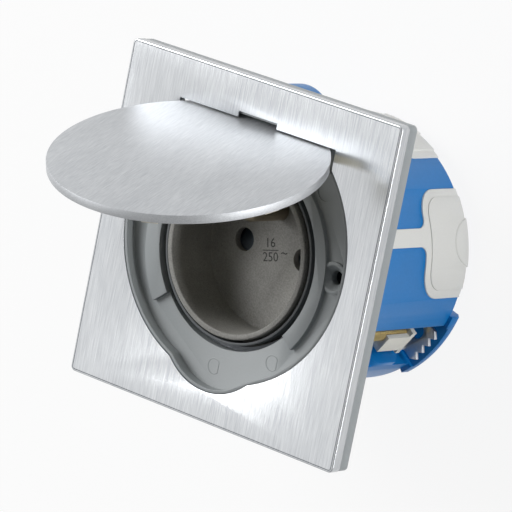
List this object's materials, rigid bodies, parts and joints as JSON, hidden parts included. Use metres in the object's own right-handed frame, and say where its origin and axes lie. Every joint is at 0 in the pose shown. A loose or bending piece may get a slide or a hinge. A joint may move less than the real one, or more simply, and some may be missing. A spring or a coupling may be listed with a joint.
{
  "type": "floor socket box",
  "caption": "Square floor socket box with a hinged lid, earthed plug well, flush round box and screw-driven clamping claws.",
  "frame": {"origin": "middle of the flush box's underside, under the plate's centre", "axes": "+Z out of the floor through the cover plate, +X along the lid's hinge, +Y towards the hinge"},
  "size_m": [0.086, 0.086, 0.1097],
  "materials": {
    "brushed_plate": "brushed, satin",
    "grey_frame": "fine grained, satin",
    "cream_carrier": "smooth, satin",
    "warm_grey_insert": "fine grained, matt",
    "black_seal": "matt",
    "zinc_steel": "zinc plated",
    "spring_steel": "drawn wire",
    "earth_brass": "dull",
    "contact_brass": "dull",
    "blue_grey_shutter": "smooth, satin",
    "dark_base": "matt",
    "blue_box": "smooth, satin",
    "white_membrane": "soft, matt",
    "white_nylon": "smooth, satin",
    "yellow_zinc": "yellow passivated"
  },
  "bodies": {
    "floor_box": {"cover_plate": "brushed_plate", "support_frame": "grey_frame", "frame_gasket": "black_seal", "hinge_pin": "zinc_steel", "socket_insert": "warm_grey_insert", "well_seal": "black_seal", "mounting_strap": "zinc_steel", "strap_screws": "zinc_steel", "clamp_screws": "zinc_steel", "earth_pin": "earth_brass", "socket_base": "dark_base", "shutter_spring": "spring_steel", "live_contact": "contact_brass", "neutral_contact": "contact_brass", "earth_terminal": "contact_brass", "terminal_screws": "zinc_steel", "base_screws": "zinc_steel", "box_body": "blue_box", "box_membranes": "white_membrane", "claw_guides": "white_nylon"},
    "lid": {"lid_plate": "brushed_plate", "lid_carrier": "cream_carrier"},
    "shutter_slider": {"shutter": "blue_grey_shutter"},
    "right_screw_body": {"right_claw_screw": "yellow_zinc"},
    "right_nut_body": {"right_claw_nut": "white_nylon"},
    "right_claw_body": {"right_claw": "zinc_steel"},
    "left_screw_body": {"left_claw_screw": "yellow_zinc"},
    "left_nut_body": {"left_claw_nut": "white_nylon"},
    "left_claw_body": {"left_claw": "zinc_steel"}
  },
  "joints": [
    {"name": "lid_hinge", "type": "hinge", "parent": "floor_box", "child": "lid", "pos_m": [0, 0.0296, 0.0507], "axis": [1, 0, 0], "range_deg": [0, 72.4]},
    {"name": "shutter_slide", "type": "slide", "parent": "floor_box", "child": "shutter_slider", "axis": [0, -1, 0], "range_m": [0, 0.0066], "stiffness_N_per_m": 60, "springref_m": -0.003, "deforming": ["shutter_spring"]},
    {"name": "right_screw_turn", "type": "hinge", "parent": "floor_box", "child": "right_screw_body", "pos_m": [0.02468, -0.0149, 0.0416], "axis": [0, 0, -1], "range_deg": [0, 8230.18]},
    {"name": "right_nut_slide", "type": "slide", "parent": "floor_box", "child": "right_nut_body", "axis": [0, 0, 1], "range_m": [0, 0.01605]},
    {"name": "right_claw_slide", "type": "slide", "parent": "floor_box", "child": "right_claw_body", "axis": [0.1448, -0.0958, 0.9848], "range_m": [0, 0.01625]},
    {"name": "left_screw_turn", "type": "hinge", "parent": "floor_box", "child": "left_screw_body", "pos_m": [-0.02468, 0.0149, 0.0416], "axis": [0, 0, -1], "range_deg": [0, 8230.18]},
    {"name": "left_nut_slide", "type": "slide", "parent": "floor_box", "child": "left_nut_body", "axis": [0, 0, 1], "range_m": [0, 0.01605]},
    {"name": "left_claw_slide", "type": "slide", "parent": "floor_box", "child": "left_claw_body", "axis": [-0.1448, 0.0958, 0.9848], "range_m": [0, 0.01625]}
  ],
  "couplings": [
    {"joint": "right_nut_slide", "follows": "right_claw_slide", "ratio": 0.98481},
    {"joint": "right_screw_turn", "follows": "right_claw_slide", "rad_per_m": 8839.6},
    {"joint": "left_nut_slide", "follows": "left_claw_slide", "ratio": 0.98481},
    {"joint": "left_screw_turn", "follows": "left_claw_slide", "rad_per_m": 8839.6}
  ]
}
